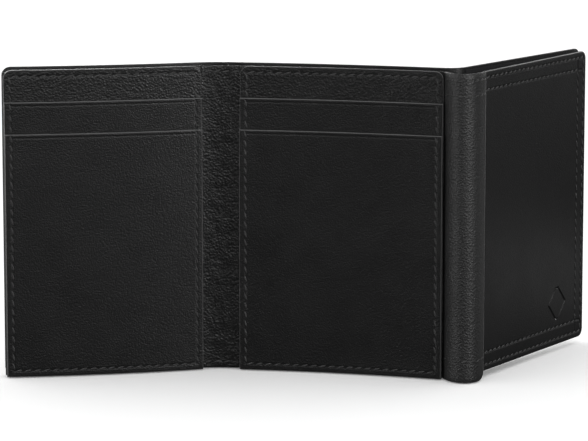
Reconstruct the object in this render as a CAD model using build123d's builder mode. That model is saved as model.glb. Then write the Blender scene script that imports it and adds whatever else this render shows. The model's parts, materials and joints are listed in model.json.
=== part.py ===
from build123d import *
from math import cos, radians, sin
import os

# A trifold wallet, standing half open on its long edge. Millimetres, +Z up.
# The middle panel lies in the XZ plane with its card pockets towards -Y.
# The origin is the middle of the bottom edge of the middle panel's shell.

# Driving dimensions
height = 108.0
front_height = 107.2
front_bottom = 0.4
middle_width = 72.0
left_width = 69.0
right_width = 77.0
right_bottom = 2.5
left_fold_angle = 26.0
right_fold_angle = 73.0
left_fold_reach = 6.4
spine_reach_middle = 3.5
spine_reach_right = 3.0
corner_radius = 3.0

# Thicknesses
shell_thick = 1.0
lining_thick = 0.25
bill_gap = 2.0
backer_thick = 0.8
pocket_thick = 0.9
cover_thick = 1.2
stiffener_thick = 0.6
bill_mouth = 6.0
folded_clearance = 0.3
edge_width = 6.0
thread_thick = 0.2
thread_width = 0.6

# Card pockets
slot_step = 11.0
slot_overlap = 10.0
tongue_length = 50.0
tongue_inset = 5.0
seam_inset = 2.2
cover_seam_insets = (2.2, 6.5)

# Depths of the two pocket panels' layers, forwards from the middle of the shell
shell_front = shell_thick / 2
lining_front = shell_front + lining_thick
bill_lining_back = lining_front + bill_gap
backer_back = bill_lining_back + lining_thick
backer_front = backer_back + backer_thick
slot_back = backer_front + pocket_thick
pocket_back = slot_back + pocket_thick
pocket_front = pocket_back + pocket_thick

# Depths of the right panel's layers, forwards from its fold axis
right_shell_back = shell_thick / 2 - 0.15
right_shell_front = right_shell_back + shell_thick
right_lining_front = right_shell_front + lining_thick
cover_lining_back = right_lining_front + bill_mouth
stiffener_back = cover_lining_back + lining_thick
cover_back = stiffener_back + stiffener_thick
cover_front = cover_back + cover_thick

# Fold axes, both vertical
left_axis = Vector(-middle_width / 2 - left_fold_reach, -pocket_front - folded_clearance)
right_axis = Vector(middle_width / 2 + spine_reach_middle, shell_front + right_shell_back)

# The right panel's shell leans towards the cover and meets it at the free edge
mouth_angle = 4.2


def along(angle):
    """Direction of a panel, from left to right, in plan."""
    return Vector(cos(radians(angle)), sin(radians(angle)))


def forwards(angle):
    """Direction that a panel's front faces, in plan."""
    return Vector(sin(radians(angle)), -cos(radians(angle)))


class Panel:
    """A flat panel's own frame: u runs along it, f forwards from its back."""

    def __init__(self, origin, angle):
        self.origin = origin
        self.angle = angle
        self.axis = Axis(origin, along(angle))

    def point(self, u, f):
        return self.origin + along(self.angle) * u + forwards(self.angle) * f

    def plane(self, f):
        return Plane(self.point(0, f), x_dir=along(self.angle), z_dir=forwards(self.angle))


middle = Panel(Vector(0, 0), 0)
left = Panel(left_axis + forwards(left_fold_angle) * left_axis.Y, left_fold_angle)
right = Panel(right_axis, right_fold_angle)
right_back = Panel(right_axis, right_fold_angle - mouth_angle)

middle_span = (-middle_width / 2, middle_width / 2)
left_span = (-left_fold_reach - left_width, -left_fold_reach)
right_span = (spine_reach_right, spine_reach_right + right_width)

os.makedirs("parts", exist_ok=True)


def keep(piece, name):
    piece.part.label = name
    export_step(piece.part, f"parts/{name}.step")


def layer(name, panel, span, depths, heights, rounded=()):
    """One flat sheet. rounded names the sides whose two corners are round."""
    width, tall = span[1] - span[0], heights[1] - heights[0]
    with BuildPart() as sheet:
        with BuildSketch(panel.plane(depths[0])) as outline:
            with Locations(((span[0] + span[1]) / 2, (heights[0] + heights[1]) / 2)):
                Rectangle(width, tall)
            for side, group in (("left", 0), ("right", -1)):
                if side in rounded:
                    fillet(outline.vertices().group_by(panel.axis)[group], corner_radius)
        extrude(amount=depths[1] - depths[0])
    keep(sheet, name)


def turned_edge(name, panel, span, sides):
    """The shell's edge, turned in along the bottom and up the free side."""
    low, high = front_bottom, front_height - 1
    with BuildPart() as edge:
        with BuildSketch(panel.plane(lining_front)) as outline:
            with Locations(((span[0] + span[1]) / 2, low + edge_width / 2)):
                Rectangle(span[1] - span[0], edge_width)
            if "left" in sides:
                with Locations((span[0] + edge_width / 2, (low + high) / 2)):
                    Rectangle(edge_width, high - low)
                fillet(outline.vertices().group_by(panel.axis)[0], corner_radius)
        extrude(amount=bill_gap)
    keep(edge, name)


def fold_sheet(name, start, end, thick, heights, bulge):
    """A sheet of leather bent round a fold, between two panel edges.

    start and end are (panel, u, f of the back face); bulge gives the reach
    of the curve at each end, along the panel and forwards.
    """
    with BuildPart() as fold:
        with BuildSketch(Plane.XY.offset(heights[0])):
            with BuildLine():
                ends = []
                for depth in (0, thick):
                    first = start[0].point(start[1], start[2] + depth)
                    last = end[0].point(end[1], end[2] + depth)
                    out = along(start[0].angle) * bulge[0][0] + forwards(start[0].angle) * bulge[0][1]
                    back = along(end[0].angle) * -bulge[1][0] + forwards(end[0].angle) * bulge[1][1]
                    Bezier(first, first + out, last + back, last)
                    ends.append((first, last))
                Line(ends[0][0], ends[1][0])
                Line(ends[0][1], ends[1][1])
            make_face()
        extrude(amount=heights[1] - heights[0])
    keep(fold, name)


def thread_bars(name, panel, bars):
    """Stitching, laid on the leather as flat runs of thread.

    Each bar is (u0, u1, z0, z1, depth of the leather's face).
    """
    with BuildPart() as thread:
        for u0, u1, z0, z1, face in bars:
            with BuildSketch(panel.plane(face)):
                with Locations(((u0 + u1) / 2, (z0 + z1) / 2)):
                    Rectangle(u1 - u0, z1 - z0)
            extrude(amount=thread_thick)
    keep(thread, name)


def pocket_panel(side, panel, span, free_side):
    """Shell, linings, backer, two card pockets and seam of one panel."""
    full = (front_bottom, front_height)
    first_edge = front_height - slot_step
    second_edge = first_edge - slot_step
    tongue_top = second_edge - slot_overlap
    inner = (span[0] + tongue_inset, span[1] - tongue_inset)

    layer(f"{side}_shell", panel, span, (-shell_front, shell_front), (0, height), free_side)
    layer(f"{side}_shell_lining", panel, span, (shell_front, lining_front), (front_bottom, height - 1),
          free_side)
    turned_edge(f"{side}_turned_edge", panel, span, free_side)
    layer(f"{side}_bill_lining", panel, span, (bill_lining_back, backer_back),
          (front_bottom, front_height - 1), free_side)
    layer(f"{side}_backer", panel, span, (backer_back, backer_front), full, free_side)
    layer(f"{side}_pocket_back", panel, span, (backer_front, slot_back), full, ("left", "right"))
    layer(f"{side}_upper_slot", panel, span, (slot_back, pocket_back), (tongue_top, first_edge))
    layer(f"{side}_upper_tongue", panel, inner, (slot_back, slot_back + lining_thick),
          (tongue_top - tongue_length, tongue_top))
    layer(f"{side}_slot_margins", panel, span, (slot_back, pocket_back),
          (front_bottom, front_bottom + edge_width))
    layer(f"{side}_front_pocket", panel, span, (pocket_back, pocket_front), (front_bottom, second_edge))

    left_line, right_line = span[0] + seam_inset, span[1] - seam_inset
    low_line, high_line = full[0] + seam_inset, full[1] - seam_inset
    half = thread_width / 2
    bars = [
        (left_line - half, right_line + half, low_line - half, low_line + half, pocket_front),
        (left_line - half, right_line + half, high_line - half, high_line + half, slot_back),
    ]
    for line in (left_line, right_line):
        bars.append((line - half, line + half, low_line, second_edge, pocket_front))
        bars.append((line - half, line + half, second_edge, first_edge, pocket_back))
        bars.append((line - half, line + half, first_edge, high_line, slot_back))
    thread_bars(f"{side}_seam_thread", panel, bars)


pocket_panel("left", left, left_span, ("left",))
pocket_panel("middle", middle, middle_span, ())

# Left fold: the lining leather and the shell bend round it as a shallow valley
left_fold_bulge = ((4.5, 0), (4.5, 0))
fold_sheet("left_fold_lining", (left, left_span[1], backer_back), (middle, middle_span[0], backer_back),
           backer_thick, (front_bottom, front_height), left_fold_bulge)
fold_sheet("left_fold_shell", (left, left_span[1], -shell_front), (middle, middle_span[0], -shell_front),
           shell_thick, (0, height), ((6, 0), (6, 0)))

# Spine: the cover leather runs slack round the outside of the right fold
spine_thick = 1.0
fold_sheet("spine_leather", (middle, middle_span[1], backer_back),
           (right, right_span[0], cover_front - spine_thick), spine_thick,
           (front_bottom, front_height), ((6, 7.5), (2.5, 6)))
fold_sheet("spine_shell", (middle, middle_span[1], -shell_front),
           (right_back, right_span[0], right_shell_back), shell_thick, (0, height), ((2.5, 0), (2, 0)))

# Right panel: cover, stiffener and linings in front, shell behind, open at the top
right_full = (right_bottom, front_height)
layer("cover", right, right_span, (cover_back, cover_front), right_full, ("right",))
layer("cover_stiffener", right, (right_span[0] + 1, right_span[1] - 1), (stiffener_back, cover_back),
      (right_bottom + 1, front_height - 1), ("right",))
layer("cover_lining", right, right_span, (cover_lining_back, stiffener_back),
      (right_bottom, front_height - 1), ("right",))
layer("right_shell_lining", right_back, right_span, (right_shell_front, right_lining_front),
      (right_bottom, height - 1), ("right",))
layer("right_shell", right_back, right_span, (right_shell_back, right_shell_front), (right_bottom, height),
      ("right",))

# A wedge of leather closes the bottom of the bill compartment in the right panel
with BuildPart() as gusset:
    with BuildSketch(Plane.XY.offset(right_bottom)):
        with BuildLine():
            Polyline(
                right.point(right_span[0], cover_lining_back),
                right.point(right_span[1] - corner_radius, cover_lining_back),
                right_back.point(right_span[1] - corner_radius, right_lining_front),
                right_back.point(right_span[0], right_lining_front),
                close=True,
            )
        make_face()
    extrude(amount=edge_width)
keep(gusset, "bill_gusset")

# Two rows of stitching round the cover, the inner one ending at the spine
for row, inset in zip(("outer", "inner"), cover_seam_insets):
    low, high = right_bottom + inset, front_height - inset
    far = right_span[1] - inset
    half = thread_width / 2
    thread_bars(f"cover_{row}_thread", right, [
        (right_span[0], far + half, low - half, low + half, cover_front),
        (right_span[0], far + half, high - half, high + half, cover_front),
        (far - half, far + half, low, high, cover_front),
    ])
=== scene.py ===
import bpy
import json
from math import cos, hypot, pi, radians, sin
from mathutils import Matrix, Vector, noise


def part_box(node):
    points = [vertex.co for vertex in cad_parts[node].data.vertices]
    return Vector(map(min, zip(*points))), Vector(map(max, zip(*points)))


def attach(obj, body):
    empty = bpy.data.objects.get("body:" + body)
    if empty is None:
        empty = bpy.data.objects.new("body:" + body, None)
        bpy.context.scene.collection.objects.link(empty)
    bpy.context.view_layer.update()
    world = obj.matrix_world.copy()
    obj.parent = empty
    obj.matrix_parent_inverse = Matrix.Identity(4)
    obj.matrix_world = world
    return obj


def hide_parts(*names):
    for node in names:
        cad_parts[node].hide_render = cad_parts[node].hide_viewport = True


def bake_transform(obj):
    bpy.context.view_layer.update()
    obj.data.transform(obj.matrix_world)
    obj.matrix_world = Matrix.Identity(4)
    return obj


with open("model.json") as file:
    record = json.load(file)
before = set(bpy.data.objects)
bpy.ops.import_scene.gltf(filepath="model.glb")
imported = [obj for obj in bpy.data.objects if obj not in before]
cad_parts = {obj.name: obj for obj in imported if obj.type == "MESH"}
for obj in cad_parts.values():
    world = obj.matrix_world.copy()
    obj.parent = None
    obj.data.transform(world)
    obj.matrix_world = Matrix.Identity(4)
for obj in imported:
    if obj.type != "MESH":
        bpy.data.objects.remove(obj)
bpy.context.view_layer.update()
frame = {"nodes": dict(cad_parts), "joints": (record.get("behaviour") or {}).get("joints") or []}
print("frame loaded")

joints = {joint["name"]: joint for joint in frame["joints"]}
bpy.context.tool_settings.mesh_select_mode = (False, True, False)


# small tools

def activate(piece):
    if bpy.context.object and bpy.context.object.mode == "EDIT":
        bpy.ops.object.mode_set(mode="OBJECT")
    bpy.ops.object.select_all(action="DESELECT")
    piece.select_set(True)
    bpy.context.view_layer.objects.active = piece


def newPiece(name):
    piece = bpy.context.object
    piece.name = piece.data.name = name
    return piece


def pickVerts(piece, test):
    # selects the vertices that pass the test and stays in edit mode
    activate(piece)
    bpy.context.tool_settings.mesh_select_mode = (True, False, False)
    bpy.ops.object.mode_set(mode="EDIT")
    bpy.ops.mesh.select_all(action="DESELECT")
    bpy.ops.object.mode_set(mode="OBJECT")
    for vert in piece.data.vertices:
        vert.select = test(vert.co)
    bpy.ops.object.mode_set(mode="EDIT")


def pickEdges(piece, test):
    activate(piece)
    bpy.context.tool_settings.mesh_select_mode = (False, True, False)
    bpy.ops.object.mode_set(mode="EDIT")
    bpy.ops.mesh.select_all(action="DESELECT")
    bpy.ops.object.mode_set(mode="OBJECT")
    verts = piece.data.vertices
    for edge in piece.data.edges:
        edge.select = test(verts[edge.vertices[0]].co, verts[edge.vertices[1]].co)
    bpy.ops.object.mode_set(mode="EDIT")


def cutAcross(piece, places, direction):
    # straight cuts through the whole piece, to give it edges to shape
    activate(piece)
    bpy.ops.object.mode_set(mode="EDIT")
    for place in places:
        bpy.ops.mesh.select_all(action="SELECT")
        bpy.ops.mesh.bisect(plane_co=Vector(direction) * place, plane_no=direction)
    bpy.ops.object.mode_set(mode="OBJECT")


def joinPieces(name, parts):
    activate(parts[0])
    for part in parts:
        part.select_set(True)
    bpy.ops.object.join()
    return newPiece(name)


def applyModifiers(piece):
    activate(piece)
    for modifier in list(piece.modifiers):
        bpy.ops.object.modifier_apply(modifier=modifier.name)


def smooth(piece, angle=40):
    activate(piece)
    bpy.ops.object.shade_smooth_by_angle(angle=radians(angle))


# where the three panels stand

wallet = dict(
    height=0.108, frontHeight=0.1072, frontBottom=0.0004,
    leftAngle=-joints["left_fold"]["range_deg"][0],
    rightAngle=-joints["right_fold"]["range_deg"][0],
    mouthAngle=4.2,
    cornerRadius=0.003, coverThick=0.0012, coverReach=0.003,
    leftBow=0.0018, middleBow=-0.0018,
)


def along(angle):
    return Vector((cos(radians(angle)), sin(radians(angle)), 0))


def forwards(angle):
    return Vector((sin(radians(angle)), -cos(radians(angle)), 0))


def hinge(name):
    place = joints[name]["pos_m"]
    return Vector((place[0], place[1], 0))


leftHinge, rightHinge = hinge("left_fold"), hinge("right_fold")
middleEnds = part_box("middle_backer")
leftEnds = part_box("left_backer")
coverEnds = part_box("cover")
backerThick = middleEnds[1].y - middleEnds[0].y
leftTurn, rightTurn = radians(wallet["leftAngle"]), radians(wallet["rightAngle"])
leftWidth = (leftEnds[1].x - leftEnds[0].x - backerThick * sin(leftTurn)) / cos(leftTurn)
rightWidth = (coverEnds[1].y - coverEnds[0].y - wallet["coverThick"] * cos(rightTurn)) / sin(rightTurn)
leftReach = middleEnds[0].x - leftHinge.x
coverReach = wallet["coverReach"]

panels = dict(
    middle=dict(body="middle_panel", origin=Vector((0, 0, 0)), angle=0.0, bow=wallet["middleBow"],
                u0=middleEnds[0].x, u1=middleEnds[1].x, roundSides=()),
    left=dict(body="left_wing", origin=leftHinge + forwards(wallet["leftAngle"]) * leftHinge.y,
              angle=wallet["leftAngle"], bow=wallet["leftBow"],
              u0=-leftReach - leftWidth, u1=-leftReach, roundSides=("left",)),
    right=dict(body="right_wing", origin=rightHinge, angle=wallet["rightAngle"], bow=0.0,
               u0=coverReach, u1=coverReach + rightWidth, roundSides=("right",)),
    rightBack=dict(body="right_wing", origin=rightHinge, angle=wallet["rightAngle"] - wallet["mouthAngle"],
                   bow=0.0, u0=coverReach, u1=coverReach + rightWidth, roundSides=("right",)),
)

# depths of the layers, forwards from the middle of the shell
depth = dict(shell=(-0.0005, 0.0005), shellLining=(0.0005, 0.00075), turnedEdge=(0.00075, 0.00275),
             billLining=(0.00275, 0.003), backer=(0.003, 0.0038), pocketBack=(0.0038, 0.0047),
             upperSlot=(0.0047, 0.0056), tongue=(0.0047, 0.00495), frontPocket=(0.0056, 0.0065))
# the right panel's, forwards from its hinge
rightDepth = dict(shell=(0.00035, 0.00135), shellLining=(0.00135, 0.0016), coverLining=(0.0076, 0.00785),
                  stiffener=(0.00785, 0.00845), cover=(0.00845, 0.00965))


def panelPoint(panel, u, f):
    return panel["origin"] + along(panel["angle"]) * u + forwards(panel["angle"]) * f


def settle(piece, panel):
    # bows a flat piece like its panel, then turns and moves it into place
    width = panel["u1"] - panel["u0"]
    middle = (panel["u0"] + panel["u1"]) / 2
    for vert in piece.data.vertices:
        share = (vert.co.x - middle) / (width / 2)
        vert.co.y -= panel["bow"] * max(0.0, 1 - share * share)
    turn = Matrix.Rotation(radians(panel["angle"]), 4, "Z")
    piece.matrix_world = Matrix.Translation(panel["origin"]) @ turn
    activate(piece)
    bpy.ops.object.transform_apply(location=True, rotation=True, scale=True)


# leather sheets

sheet = dict(edgeRound=0.00022, cornerSteps=6, cutEvery=0.006, creaseDepth=0.00016, creaseWidth=0.00035,
             creaseInset=0.0008, seamDepth=0.00022, seamWidth=0.0005, seamInset=0.0022,
             acrossGroove=(-1.6, -1, 0, 1, 1.6), roundSteps=3, mostRound=0.45, rimMargin=1.8, softAngle=50)
near = 1e-6  # two places closer than this are the same


def leatherSheet(name, u0, u1, z0, z1, depths, rounded=(), creases=(), seam=None, edgeRound=None,
                 joined=()):
    # a flat sheet; joined are the sides that carry on into a fold, so stay square
    back, front = depths
    bpy.ops.object.select_all(action="DESELECT")
    bpy.ops.mesh.primitive_cube_add(size=1, location=((u0 + u1) / 2, -(back + front) / 2, (z0 + z1) / 2),
                                    scale=(u1 - u0, front - back, z1 - z0))
    piece = newPiece(name)
    activate(piece)
    bpy.ops.object.transform_apply(location=True, rotation=True, scale=True)

    ends = [u for side, u in (("left", u0), ("right", u1)) if side in rounded]
    if ends:
        pickEdges(piece, lambda a, b: abs(a.x - b.x) < near and abs(a.z - b.z) < near
                  and any(abs(a.x - u) < near for u in ends))
        bpy.ops.mesh.bevel(offset=wallet["cornerRadius"], segments=sheet["cornerSteps"], affect="EDGES")
        bpy.ops.object.mode_set(mode="OBJECT")

    # round the cut edges on both faces
    rim = min(edgeRound or sheet["edgeRound"], (front - back) * sheet["mostRound"])
    pickEdges(piece, lambda a, b: abs(a.y - b.y) < near / 10
              and not any(abs(a.x - u) < near and abs(b.x - u) < near for u in joined))
    bpy.ops.mesh.bevel(offset=rim, segments=sheet["roundSteps"], affect="EDGES")
    bpy.ops.object.mode_set(mode="OBJECT")

    # cuts for the bow, the creases and the seam channel
    steps = max(1, round((u1 - u0) / sheet["cutEvery"]))
    margin = rim * sheet["rimMargin"]
    cutAcross(piece, [u0 + (u1 - u0) * step / steps for step in range(1, steps)], (1, 0, 0))
    cutAcross(piece, (u0 + margin, u1 - margin), (1, 0, 0))
    cutAcross(piece, (z0 + margin, z1 - margin), (0, 0, 1))
    for place in creases:
        cutAcross(piece, [place + sheet["creaseWidth"] * share for share in sheet["acrossGroove"]],
                  (0, 0, 1))
    if seam:
        for places, direction in ((seam["us"], (1, 0, 0)), (seam["zs"], (0, 0, 1))):
            for place in places:
                cutAcross(piece, [place + sheet["seamWidth"] * share for share in sheet["acrossGroove"]],
                          direction)

    # press the creases and the seam channel into the front
    def pressed(test, amount):
        pickVerts(piece, lambda co: abs(co.y + front) < near and test(co))
        bpy.ops.transform.translate(value=(0, amount, 0))
        bpy.ops.object.mode_set(mode="OBJECT")

    inset = seam["inset"] if seam else sheet["creaseInset"]
    for place in creases:
        pressed(lambda co: abs(co.z - place) < near and u0 + inset < co.x < u1 - inset,
                sheet["creaseDepth"])
    if seam:
        low, high = seam["low"], seam["high"]
        for place in seam["us"]:
            pressed(lambda co: abs(co.x - place) < near and low - near <= co.z <= high + near,
                    sheet["seamDepth"])
        first, last = seam.get("from", min(seam["us"])), max(seam["us"])
        for place in seam["zs"]:
            pressed(lambda co: abs(co.z - place) < near and first - near < co.x < last + near,
                    sheet["seamDepth"])
    smooth(piece, sheet["softAngle"])
    return piece


# stitches

stitch = dict(pitch=0.0032, length=0.0025, width=0.0007, height=0.0004, slant=16, sides=8, rings=6,
              softAngle=80)


def stitchRow(name, start, end, face):
    # a row of slanted lockstitches in a panel's own frame, on a face at this depth
    du, dz = end[0] - start[0], end[1] - start[1]
    run = hypot(du, dz)
    count = max(1, round(run / stitch["pitch"]))
    pitch = run / count
    turn = 0 if abs(du) > abs(dz) else pi / 2
    bpy.ops.object.select_all(action="DESELECT")
    bpy.ops.mesh.primitive_uv_sphere_add(segments=stitch["sides"], ring_count=stitch["rings"], radius=0.5)
    piece = newPiece(name)
    piece.rotation_euler = (0, pi / 2, 0)
    bpy.ops.object.transform_apply(location=False, rotation=True, scale=False)
    piece.scale = (stitch["length"], stitch["height"], stitch["width"])
    bpy.ops.object.transform_apply(location=False, rotation=False, scale=True)
    piece.rotation_euler = (0, -turn - radians(stitch["slant"]), 0)
    piece.location = (start[0] + du / count / 2, -face, start[1] + dz / count / 2)
    bpy.ops.object.transform_apply(location=True, rotation=True, scale=False)
    repeat = piece.modifiers.new("repeat", "ARRAY")
    repeat.use_relative_offset = False
    repeat.use_constant_offset = True
    repeat.constant_offset_displace = (du / run * pitch, 0, dz / run * pitch)
    repeat.count = count
    applyModifiers(piece)
    smooth(piece, stitch["softAngle"])
    return piece


# materials

hide = dict(patchDetail=3, polishScale=3, polishDetail=4, polishOver=(0.3, 0.7), pebbleBlur=0.4,
            poreShare=0.4, poreScale=1.7, poreDetail=5)
weaving = dict(waver=0.4, relief=0.5, threadDepth=0.0001)


def leather(name, look):
    material = bpy.data.materials.new(name)
    material.use_nodes = True
    nodes, links = material.node_tree.nodes, material.node_tree.links
    shader = nodes["Principled BSDF"]
    shader.inputs["IOR"].default_value = look["ior"]
    place = nodes.new("ShaderNodeTexCoord")

    def noiseAt(scale, detail):
        node = nodes.new("ShaderNodeTexNoise")
        node.inputs["Scale"].default_value = scale
        node.inputs["Detail"].default_value = detail
        links.new(place.outputs["Object"], node.inputs["Vector"])
        return node.outputs["Fac"]

    # slow change of colour over the hide
    tone = nodes.new("ShaderNodeMix")
    tone.data_type = "RGBA"
    tone.inputs["A"].default_value = (*look["dark"], 1)
    tone.inputs["B"].default_value = (*look["light"], 1)
    links.new(noiseAt(look["patch"], hide["patchDetail"]), tone.inputs["Factor"])
    links.new(tone.outputs["Result"], shader.inputs["Base Color"])

    # polish that varies with the handling
    polish = nodes.new("ShaderNodeMapRange")
    polish.inputs["From Min"].default_value = hide["polishOver"][0]
    polish.inputs["From Max"].default_value = hide["polishOver"][1]
    polish.inputs["To Min"].default_value, polish.inputs["To Max"].default_value = look["rough"]
    links.new(noiseAt(look["patch"] * hide["polishScale"], hide["polishDetail"]), polish.inputs["Value"])

    # pebble grain with fine pores over it
    pebble = nodes.new("ShaderNodeTexVoronoi")
    pebble.feature = "SMOOTH_F1"
    pebble.inputs["Scale"].default_value = look["grain"]
    pebble.inputs["Smoothness"].default_value = hide["pebbleBlur"]
    links.new(place.outputs["Object"], pebble.inputs["Vector"])
    grain = nodes.new("ShaderNodeMix")
    grain.data_type = "FLOAT"
    grain.inputs["Factor"].default_value = hide["poreShare"]
    links.new(pebble.outputs["Distance"], grain.inputs["A"])
    links.new(noiseAt(look["grain"] * hide["poreScale"], hide["poreDetail"]), grain.inputs["B"])
    pores = nodes.new("ShaderNodeMath")
    pores.operation = "MULTIPLY_ADD"
    pores.inputs[1].default_value = look["poreDulling"]
    links.new(grain.outputs["Result"], pores.inputs[0])
    links.new(polish.outputs["Result"], pores.inputs[2])
    links.new(pores.outputs["Value"], shader.inputs["Roughness"])
    bump = nodes.new("ShaderNodeBump")
    bump.invert = True
    bump.inputs["Strength"].default_value = look["relief"]
    bump.inputs["Distance"].default_value = look["grainDepth"]
    links.new(grain.outputs["Result"], bump.inputs["Height"])
    links.new(bump.outputs["Normal"], shader.inputs["Normal"])
    return material


def cloth(name, look):
    material = bpy.data.materials.new(name)
    material.use_nodes = True
    nodes, links = material.node_tree.nodes, material.node_tree.links
    shader = nodes["Principled BSDF"]
    shader.inputs["Roughness"].default_value = look["rough"]
    shader.inputs["Specular IOR Level"].default_value = look["gloss"]
    place = nodes.new("ShaderNodeTexCoord")
    heights = []
    for turn in (0, 90):
        mapping = nodes.new("ShaderNodeMapping")
        mapping.inputs["Rotation"].default_value = (0, radians(turn), 0)
        links.new(place.outputs["Object"], mapping.inputs["Vector"])
        thread = nodes.new("ShaderNodeTexWave")
        thread.bands_direction = "X"
        thread.inputs["Scale"].default_value = look["weave"]
        thread.inputs["Distortion"].default_value = weaving["waver"]
        links.new(mapping.outputs["Vector"], thread.inputs["Vector"])
        heights.append(thread.outputs["Fac"])
    weave = nodes.new("ShaderNodeMath")
    weave.operation = "MAXIMUM"
    links.new(heights[0], weave.inputs[0])
    links.new(heights[1], weave.inputs[1])
    tone = nodes.new("ShaderNodeMix")
    tone.data_type = "RGBA"
    tone.inputs["A"].default_value = (*look["dark"], 1)
    tone.inputs["B"].default_value = (*look["light"], 1)
    links.new(weave.outputs["Value"], tone.inputs["Factor"])
    links.new(tone.outputs["Result"], shader.inputs["Base Color"])
    bump = nodes.new("ShaderNodeBump")
    bump.inputs["Strength"].default_value = weaving["relief"]
    bump.inputs["Distance"].default_value = weaving["threadDepth"]
    links.new(weave.outputs["Value"], bump.inputs["Height"])
    links.new(bump.outputs["Normal"], shader.inputs["Normal"])
    return material


looks = dict(
    pocket=dict(dark=(0.0012, 0.0012, 0.0013), light=(0.0026, 0.0026, 0.0026), rough=(0.22, 0.30),
                poreDulling=0.3, ior=1.38, patch=40, grain=1850, relief=0.6, grainDepth=0.00026),
    grained=dict(dark=(0.0012, 0.0012, 0.0012), light=(0.0026, 0.0026, 0.0026), rough=(0.20, 0.28),
                 poreDulling=0.3, ior=1.4, patch=50, grain=1350, relief=0.7, grainDepth=0.00036),
    cover=dict(dark=(0.002, 0.002, 0.0021), light=(0.0035, 0.0035, 0.0035), rough=(0.22, 0.30),
               poreDulling=0.3, ior=1.3, patch=30, grain=2000, relief=0.4, grainDepth=0.0002),
    spine=dict(dark=(0.0015, 0.0015, 0.0016), light=(0.003, 0.003, 0.003), rough=(0.34, 0.42),
               poreDulling=0.3, ior=1.5, patch=40, grain=1500, relief=0.8, grainDepth=0.0003),
    fold=dict(dark=(0.0012, 0.0012, 0.0012), light=(0.0026, 0.0026, 0.0026), rough=(0.20, 0.28),
              poreDulling=0.3, ior=1.42, patch=60, grain=1250, relief=0.75, grainDepth=0.0004),
    # edge: waxed edge paint made lighter than the leather, a painted highlight on the rounded edges
    edge=dict(dark=(0.03, 0.03, 0.03), light=(0.06, 0.06, 0.06), rough=(0.16, 0.26),
              poreDulling=0.3, ior=1.5, patch=160, grain=2400, relief=0.2, grainDepth=0.0001),
    shell=dict(dark=(0.0015, 0.0015, 0.0016), light=(0.003, 0.003, 0.003), rough=(0.26, 0.34),
               poreDulling=0.3, ior=1.4, patch=30, grain=1500, relief=0.5, grainDepth=0.00028),
)
cloths = dict(
    lining=dict(dark=(0.003, 0.003, 0.0035), light=(0.009, 0.009, 0.0095), rough=0.8, gloss=0.1, weave=900),
    board=dict(dark=(0.05, 0.045, 0.04), light=(0.08, 0.072, 0.065), rough=0.9, gloss=0.1, weave=300),
    thread=dict(dark=(0.003, 0.003, 0.003), light=(0.02, 0.02, 0.02), rough=0.4, gloss=0.3, weave=2600),
)
materials = {name: leather(name + "Leather", look) for name, look in looks.items()}
for name, title in (("lining", "liningCloth"), ("board", "stiffenerBoard"), ("thread", "blackThread")):
    materials[name] = cloth(title, cloths[name])


def edgeFaces(piece):
    # the rounded front edges of a sheet that still lies flat, but not its grooves; they take the painted
    # edge highlight
    steep, level = -0.85, -0.1
    return [face.index for face in piece.data.polygons if steep < face.normal.y < level]


def paintEdgeHighlights(piece, faces):
    # waxed edge paint, made lighter than the leather as a painted highlight along the rounded edges
    piece.data.materials.append(materials["edge"])
    for index in faces:
        piece.data.polygons[index].material_index = 1


def finishPiece(piece, finish, body, nodes):
    piece.data.materials.clear()
    piece.data.materials.append(materials[finish])
    if body:
        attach(piece, body)
    if nodes:
        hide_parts(*nodes)


# the two pocket panels

pocket = dict(slotStep=0.011, slotOverlap=0.010, tongueLength=0.050, tongueInset=0.005, edgeWidth=0.006,
              creaseBelow=0.0013, edgeRound=0.00036, shellRound=0.0003, liningDrop=0.001,
              threadSunk=0.00007)


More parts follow.
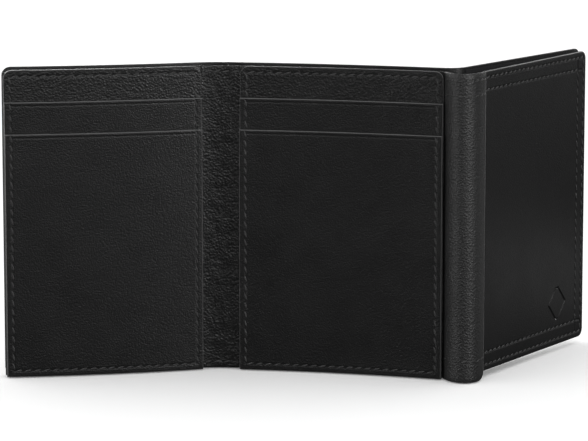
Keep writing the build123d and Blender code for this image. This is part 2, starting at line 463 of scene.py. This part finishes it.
def pocketPanel(side):
    panel = panels[side]
    u0, u1 = panel["u0"], panel["u1"]
    low, high = wallet["frontBottom"], wallet["frontHeight"]
    firstEdge = high - pocket["slotStep"]
    secondEdge = firstEdge - pocket["slotStep"]
    tongueTop = secondEdge - pocket["slotOverlap"]
    inset = sheet["seamInset"]
    us = (u0 + inset, u1 - inset)
    full = dict(us=us, zs=(low + inset, high - inset), low=low + inset, high=high - inset, inset=inset)
    band = dict(us=us, zs=(), low=0, high=1, inset=inset)
    front = dict(us=us, zs=(low + inset,), low=low + inset, high=1, inset=inset)
    free = panel["roundSides"]
    node = side + "_"

    def add(name, finish, nodes, *args, **options):
        piece = leatherSheet(side + name, *args, **options)
        edges = edgeFaces(piece)
        settle(piece, panel)
        finishPiece(piece, finish, panel["body"], [node + n for n in nodes])
        # the lighter edge paint is a painted highlight on the rounded edges
        if finish in ("pocket", "grained"):
            paintEdgeHighlights(piece, edges)
        return piece

    liningTop = high - pocket["liningDrop"]
    add("Shell", "shell", ["shell"], u0, u1, 0, wallet["height"], depth["shell"], rounded=free,
        edgeRound=pocket["shellRound"], joined=(u1,) if "left" in free else (u0, u1))
    add("ShellLining", "lining", ["shell_lining"], u0, u1, low, wallet["height"] - pocket["liningDrop"],
        depth["shellLining"], rounded=free)
    add("BillLining", "lining", ["bill_lining"], u0, u1, low, liningTop, depth["billLining"], rounded=free)
    edgeBars = [leatherSheet("bar", u0, u1, low, low + pocket["edgeWidth"], depth["turnedEdge"])]
    if "left" in free:
        edgeBars.append(leatherSheet("bar", u0, u0 + pocket["edgeWidth"], low + wallet["cornerRadius"],
                                     liningTop, depth["turnedEdge"]))
    turned = joinPieces(side + "TurnedEdge", edgeBars)
    settle(turned, panel)
    finishPiece(turned, "shell", panel["body"], [node + "turned_edge"])
    add("Backer", "fold", ["backer"], u0, u1, low, high, depth["backer"], rounded=free)
    add("PocketBack", "grained", ["pocket_back"], u0, u1, low, high, depth["pocketBack"],
        rounded=("left", "right"), seam=full)
    add("UpperSlot", "pocket", ["upper_slot"], u0, u1, tongueTop, firstEdge, depth["upperSlot"],
        creases=(firstEdge - pocket["creaseBelow"],), seam=band, edgeRound=pocket["edgeRound"])
    add("UpperTongue", "lining", ["upper_tongue"], u0 + pocket["tongueInset"], u1 - pocket["tongueInset"],
        tongueTop - pocket["tongueLength"], tongueTop, depth["tongue"])
    add("SlotMargin", "pocket", ["slot_margins"], u0, u1, low, low + pocket["edgeWidth"],
        depth["upperSlot"])
    add("FrontPocket", "pocket", ["front_pocket"], u0, u1, low, secondEdge, depth["frontPocket"],
        creases=(secondEdge - pocket["creaseBelow"],), seam=front, edgeRound=pocket["edgeRound"])

    frontFace, slotFace, backFace = (depth[layer][1] - pocket["threadSunk"]
                                     for layer in ("frontPocket", "upperSlot", "pocketBack"))
    rows = [((us[0], low + inset), (us[1], low + inset), frontFace),
            ((us[0], high - inset), (us[1], high - inset), backFace)]
    for u in us:
        rows.append(((u, low + inset), (u, secondEdge), frontFace))
        rows.append(((u, secondEdge), (u, firstEdge), slotFace))
        rows.append(((u, firstEdge), (u, high - inset), backFace))
    stitches = joinPieces(side + "Stitching", [stitchRow("row", *row) for row in rows])
    settle(stitches, panel)
    finishPiece(stitches, "thread", panel["body"], [node + "seam_thread"])
    print(side, "pocket panel made")


pocketPanel("left")
pocketPanel("middle")


# folds

bend = dict(steps=40, dropFrom=0.72, broadRipple=(5, 260), fineRipple=(12, 600), shellThick=0.001,
            rim=0.0002, mostRound=0.4, softAngle=60, threadLift=0.00002)


def foldFrame(fold, share, height):
    # point and front normal on a fold's curve at this share of its length, and the length
    a, outA, outB, b = fold(height)
    points = []
    lastStep = bend["steps"] - 1
    for step in range(bend["steps"] + 1):
        t = step / bend["steps"]
        points.append(a * (1 - t) ** 3 + (a + outA) * 3 * t * (1 - t) ** 2
                      + (b + outB) * 3 * t * t * (1 - t) + b * t ** 3)
    lengths = [0]
    for first, second in zip(points, points[1:]):
        lengths.append(lengths[-1] + (second - first).length)
    target = min(max(share, 0), 1) * lengths[-1]
    step = 0
    while step < lastStep and lengths[step + 1] < target:
        step += 1
    part = (target - lengths[step]) / (lengths[step + 1] - lengths[step])
    ahead = points[step + 1] - points[step]
    before = points[step] - points[step - 1] if step else ahead
    after = points[step + 2] - points[step + 1] if step < lastStep else ahead
    tangent = before.normalized() * (1 - part) + ahead.normalized() + after.normalized() * part
    tangent.normalize()
    return points[step] + ahead * part, Vector((tangent.y, -tangent.x, 0)), lengths[-1]


def foldSheet(name, fold, low, high, thick, across, upright, ripple=0.0, lowEnd=None, rounded=True):
    # a sheet bent round a fold; its front lies on the fold's curve, and the bottom
    # edge rises to lowEnd where the sheet ends
    bpy.ops.object.select_all(action="DESELECT")
    bpy.ops.mesh.primitive_grid_add(x_subdivisions=across, y_subdivisions=upright, size=1)
    piece = newPiece(name)
    for vert in piece.data.vertices:
        share, rise = vert.co.x + 0.5, vert.co.y + 0.5
        bottom = low
        if lowEnd is not None:
            bottom += (lowEnd - low) * max(0, (share - bend["dropFrom"]) / (1 - bend["dropFrom"])) ** 2
        height = bottom + (high - bottom) * rise
        place, normal, _ = foldFrame(fold, share, height)
        broad, fine = bend["broadRipple"], bend["fineRipple"]
        waves = (noise.noise(Vector((share * broad[0], 0, height * broad[1])))
                 + 0.5 * noise.noise(Vector((share * fine[0], 3, height * fine[1]))))
        swell = ripple * sin(pi * share) * waves
        vert.co = Vector((place.x, place.y, height)) + normal * swell
    activate(piece)
    bpy.ops.object.mode_set(mode="EDIT")
    bpy.ops.mesh.select_all(action="SELECT")
    bpy.ops.mesh.normals_make_consistent(inside=False)
    bpy.ops.object.mode_set(mode="OBJECT")
    centreFace = piece.data.polygons[len(piece.data.polygons) // 2]
    if centreFace.normal.y > 0:
        bpy.ops.object.mode_set(mode="EDIT")
        bpy.ops.mesh.select_all(action="SELECT")
        bpy.ops.mesh.flip_normals()
        bpy.ops.object.mode_set(mode="OBJECT")
    wall = piece.modifiers.new("wall", "SOLIDIFY")
    wall.thickness = thick
    wall.offset = -1
    if rounded:
        rim = piece.modifiers.new("rim", "BEVEL")
        rim.width = min(bend["rim"], thick * bend["mostRound"])
        rim.segments = 2
        rim.limit_method = "ANGLE"
        rim.angle_limit = radians(bend["softAngle"])
    applyModifiers(piece)
    smooth(piece, bend["softAngle"])
    return piece


def foldStitches(name, fold, rows):
    # rows across a fold: (height, first share, last share)
    parts = []
    for height, first, last in rows:
        _, _, length = foldFrame(fold, 0, height)
        piece = stitchRow("row", (first * length, height), (last * length, height), 0)
        for vert in piece.data.vertices:
            place, normal, _ = foldFrame(fold, vert.co.x / length, height)
            lift = -vert.co.y + bend["threadLift"]
            vert.co = Vector((place.x + normal.x * lift, place.y + normal.y * lift, vert.co.z))
        parts.append(piece)
    return joinPieces(name, parts)


def blendPiece(piece, finish, nodes):
    finishPiece(piece, finish, None, nodes)
    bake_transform(piece)


left, middle, right, rightBack = (panels[n] for n in ("left", "middle", "right", "rightBack"))


def foldBetween(first, last, reachA, reachB):
    # first and last are (panel, u, f); the reaches are (along, forwards)
    a, b = panelPoint(*first), panelPoint(*last)
    angleA, angleB = first[0]["angle"], last[0]["angle"]
    return lambda height: (a, along(angleA) * reachA[0] + forwards(angleA) * reachA[1],
                           -along(angleB) * reachB[0] + forwards(angleB) * reachB[1], b)


def bowedReach(panel, reach):
    # leaves a panel's edge at the slope that its bow has there
    slope = -4 * abs(panel["bow"]) / (panel["u1"] - panel["u0"])
    return reach, slope * reach * (1 if panel is left else -1)


# left fold: soft grained lining leather in a shallow valley, shell behind it
leftFold = dict(liningReach=0.0045, shellReach=0.006, ripple=0.00022, seamInset=0.0021,
                seamEnds=(0.04, 0.96), liningCuts=(28, 90), shellCuts=(20, 30))


def leftFoldAt(face, reach):
    return foldBetween((left, left["u1"], face), (middle, middle["u0"], face),
                       bowedReach(left, reach), bowedReach(middle, reach))


leftLiningFold = leftFoldAt(depth["backer"][1], leftFold["liningReach"])
leftShellFold = leftFoldAt(depth["shell"][1], leftFold["shellReach"])
lining = foldSheet("leftFoldLining", leftLiningFold, wallet["frontBottom"], wallet["frontHeight"],
                   backerThick, *leftFold["liningCuts"], ripple=leftFold["ripple"])
blendPiece(lining, "fold", ["left_fold_lining"])
shellBend = foldSheet("leftFoldShell", leftShellFold, 0, wallet["height"], bend["shellThick"],
                      *leftFold["shellCuts"], rounded=False)
blendPiece(shellBend, "shell", ["left_fold_shell"])
threads = foldStitches("leftFoldStitching", leftLiningFold,
                       [(wallet["frontBottom"] + leftFold["seamInset"], *leftFold["seamEnds"]),
                        (wallet["frontHeight"] - leftFold["seamInset"], *leftFold["seamEnds"])])
blendPiece(threads, "thread", [])

# spine: cover leather, slack round the outside of the right fold
spine = dict(thick=0.001, startReach=(0.0055, 0.0107), creaseReach=(0.0123, 0.0055),
             softReach=(0.0118, 0.0035), softFrom=0.15, softOver=0.8, ripple=0.00002,
             shellReaches=((0.0025, 0.00025), (0.002, 0)), topRows=(0.0026, 0.0078), bottomRow=0.0078,
             seamEnds=(0.05, 1), cuts=(48, 60), shellCuts=(16, 30))


def spineFold(height):
    # a sharp crease beside the cover low down, which softens upwards
    soft = min(1, max(0, (height / wallet["height"] - spine["softFrom"]) / spine["softOver"]))
    soft = soft * soft * (3 - 2 * soft)
    reach = [low + (high - low) * soft for low, high in zip(spine["creaseReach"], spine["softReach"])]
    return foldBetween((middle, middle["u1"], depth["backer"][1]),
                       (right, right["u0"], rightDepth["cover"][1]), spine["startReach"], reach)(height)


spineSkin = foldSheet("spineLeather", spineFold, wallet["frontBottom"], wallet["frontHeight"],
                      spine["thick"], *spine["cuts"], ripple=spine["ripple"], lowEnd=coverEnds[0].z)
blendPiece(spineSkin, "spine", ["spine_leather"])
spineShellFold = foldBetween((middle, middle["u1"], depth["shell"][1]),
                             (rightBack, rightBack["u0"], rightDepth["shell"][1]), *spine["shellReaches"])
spineBack = foldSheet("spineShell", spineShellFold, 0, wallet["height"], bend["shellThick"],
                      *spine["shellCuts"], rounded=False)
blendPiece(spineBack, "shell", ["spine_shell"])
spineRows = [wallet["frontHeight"] - drop for drop in spine["topRows"]] + [spine["bottomRow"]]
spineThreads = foldStitches("spineStitching", spineFold, [(row, *spine["seamEnds"]) for row in spineRows])
blendPiece(spineThreads, "thread", [])
print("folds made")


# right panel

cover = dict(rows=(0.0022, 0.0065), edgeRound=0.0004, boardInset=0.001, threadSunk=0.00002, softAngle=32,
             markPlace=(0.059, 0.0178), markSize=(0.0072, 0.0046), markDepth=0.0004, markWall=0.00045,
             markCut=0.006, markRegion=4, flatFront=-0.9, unpaintedHeight=0.03)


def lozenge(piece, size):
    # presses a lozenge's outline into the front of the cover as a groove
    centre, front = cover["markPlace"], rightDepth["cover"][1]
    corner = Vector((centre[0], 0, centre[1]))

    def within(co, reach):
        return abs(co.x - centre[0]) / size[0] + abs(co.z - centre[1]) / size[1] < reach

    def pickFaces(test):
        pickVerts(piece, lambda co: False)
        bpy.ops.mesh.select_mode(type="FACE")
        bpy.ops.object.mode_set(mode="OBJECT")
        for face in piece.data.polygons:
            face.select = face.normal.y < cover["flatFront"] and test(face.center)
        bpy.ops.object.mode_set(mode="EDIT")

    for turnU, turnZ in ((1, 1), (1, -1), (-1, 1), (-1, -1)):
        pickFaces(lambda co: within(co, cover["markRegion"]))
        bpy.ops.mesh.bisect(plane_co=corner + Vector((size[0] * turnU, 0, 0)),
                            plane_no=(turnU / size[0], 0, turnZ / size[1]))
    pickFaces(lambda co: within(co, 1) and abs(co.y + front) < near)
    bpy.ops.mesh.inset(thickness=cover["markWall"], depth=-cover["markDepth"])
    bpy.ops.mesh.inset(thickness=cover["markWall"], depth=cover["markDepth"])
    bpy.ops.object.mode_set(mode="OBJECT")


def rightPanel():
    low, high = coverEnds[0].z, wallet["frontHeight"]
    u0, u1 = right["u0"], right["u1"]
    outer, inner = cover["rows"]
    # two seam channels, one inside the other
    both = dict(us=(u1 - outer, u1 - inner), zs=(low + outer, high - outer, low + inner, high - inner),
                low=low + outer, high=high - outer, inset=outer)
    both["from"] = u0
    piece = leatherSheet("cover", u0, u1, low, high, rightDepth["cover"], rounded=("right",), seam=both,
                         edgeRound=cover["edgeRound"])
    markU, markZ = cover["markPlace"]
    cutAcross(piece, (markZ - cover["markCut"], markZ + cover["markCut"]), (0, 0, 1))
    lozenge(piece, cover["markSize"])
    smooth(piece, cover["softAngle"])

    # the groove's walls slope like the rounded edges, but get no painted edge highlight
    def besideMark(centre):
        return (abs(centre.x - markU) <= cover["markSize"][0]
                and abs(centre.z - low) <= cover["unpaintedHeight"])

    edges = [index for index in edgeFaces(piece) if not besideMark(piece.data.polygons[index].center)]
    settle(piece, right)
    finishPiece(piece, "cover", "right_wing", ["cover"])
    # painted highlight: the lighter edge paint on the rounded edges
    paintEdgeHighlights(piece, edges)

    boardInset, drop = cover["boardInset"], pocket["liningDrop"]
    shellTop = wallet["height"]
    for name, finish, node, panel, layer, z0, z1 in (
            ("coverStiffener", "board", "cover_stiffener", right, "stiffener", low + boardInset,
             high - boardInset),
            ("coverLining", "lining", "cover_lining", right, "coverLining", low, high - drop),
            ("rightShellLining", "lining", "right_shell_lining", rightBack, "shellLining", low,
             shellTop - drop),
            ("rightShell", "shell", "right_shell", rightBack, "shell", low, shellTop)):
        inset = boardInset if finish == "board" else 0
        piece = leatherSheet(name, u0 + inset, u1 - inset, z0, z1, rightDepth[layer], rounded=("right",),
                             joined=(u0,))
        settle(piece, panel)
        finishPiece(piece, finish, "right_wing", [node])
    face = rightDepth["cover"][1] - cover["threadSunk"]
    for name, inset, node in (("coverOuterStitching", outer, "cover_outer_thread"),
                              ("coverInnerStitching", inner, "cover_inner_thread")):
        rows = [((u0, low + inset), (u1 - inset, low + inset), face),
                ((u0, high - inset), (u1 - inset, high - inset), face),
                ((u1 - inset, low + inset), (u1 - inset, high - inset), face)]
        stitches = joinPieces(name, [stitchRow("row", *row) for row in rows])
        settle(stitches, right)
        finishPiece(stitches, "thread", "right_wing", [node])
    print("right panel made")


rightPanel()
gusset = frame["nodes"]["bill_gusset"]
gusset.data.materials.clear()
gusset.data.materials.append(materials["fold"])


# floor, light and camera

studio = dict(floorSize=2.6, skyReflected=0.05, skyLight=1.2, floorGlow=0.12, lampAim=(0.02, 0, 0.05),
              paperColour=(0.9, 0.9, 0.9, 1), paperRough=0.9, paperGloss=0.1,
              lens=205, camPlace=(0.2648, -1.1188, 0.2368), pitch=9.05, turn=14.18)

bpy.ops.object.select_all(action="DESELECT")
bpy.ops.mesh.primitive_plane_add(size=studio["floorSize"], location=(0, 0, 0))
floor = newPiece("floor")
paper = bpy.data.materials.new("paperWhite")
paper.use_nodes = True
paperShader = paper.node_tree.nodes["Principled BSDF"]
paperShader.inputs["Base Color"].default_value = studio["paperColour"]
paperShader.inputs["Roughness"].default_value = studio["paperRough"]
paperShader.inputs["Specular IOR Level"].default_value = studio["paperGloss"]
paperShader.inputs["Emission Color"].default_value = (1, 1, 1, 1)
paperShader.inputs["Emission Strength"].default_value = studio["floorGlow"]
floor.data.materials.append(paper)
floor.visible_glossy = False

world = bpy.data.worlds.new("studio")
bpy.context.scene.world = world
world.use_nodes = True
sky = world.node_tree.nodes["Background"]
sky.inputs["Color"].default_value = (1, 1, 1, 1)
rays = world.node_tree.nodes.new("ShaderNodeLightPath")
level = world.node_tree.nodes.new("ShaderNodeMapRange")
level.inputs["To Min"].default_value = studio["skyLight"]
level.inputs["To Max"].default_value = studio["skyReflected"]
world.node_tree.links.new(rays.outputs["Is Glossy Ray"], level.inputs["Value"])
world.node_tree.links.new(level.outputs["Result"], sky.inputs["Strength"])

# the lamps light the wallet only, so that the floor stays evenly pale
unlit = bpy.data.collections.new("unlit")
unlit.objects.link(floor)
unlit.collection_objects[0].light_linking.link_state = "EXCLUDE"

lamps = dict(
    top=dict(place=(0.1, 0.1, 1.4), size=(2.4, 2.4), power=16),
    key=dict(place=(0.2, -1.0, 0.55), size=(0.5, 0.5), power=4.8),
    rightSide=dict(place=(1.0, -0.45, 0.4), size=(0.4, 0.5), power=9.5),
    rightBack=dict(place=(0.8, 0.75, 0.1), size=(0.4, 0.15), power=0.2),
    rightLow=dict(place=(0.14, 0.1, 0.015), size=(0.08, 0.03), power=0.003),
    leftSide=dict(place=(-0.8, -0.5, 0.08), size=(0.4, 0.14), power=3),
    farLeft=dict(place=(-1.1, 0.2, 0.2), size=(0.3, 0.4), power=2.5),
    back=dict(place=(-0.6, 1.0, 0.35), size=(0.6, 0.4), power=9),
    backRight=dict(place=(0.4, 1.1, 0.4), size=(0.5, 0.5), power=3),
)
for name, lamp in lamps.items():
    bpy.ops.object.light_add(type="AREA", location=lamp["place"])
    light = bpy.context.object
    light.name = name
    light.data.shape = "RECTANGLE"
    light.data.size, light.data.size_y = lamp["size"]
    light.data.energy = lamp["power"]
    light.visible_camera = False
    light.light_linking.receiver_collection = unlit
    aim = Vector(studio["lampAim"]) - Vector(lamp["place"])
    light.rotation_euler = aim.to_track_quat("-Z", "Y").to_euler()

bpy.ops.object.camera_add(location=studio["camPlace"],
                          rotation=(radians(90 - studio["pitch"]), 0, radians(studio["turn"])))
camera = bpy.context.object
camera.data.lens = studio["lens"]
camera.data.sensor_width = 36
bpy.context.scene.view_settings.view_transform = "Standard"
bpy.context.scene.camera = camera
print("studio made")
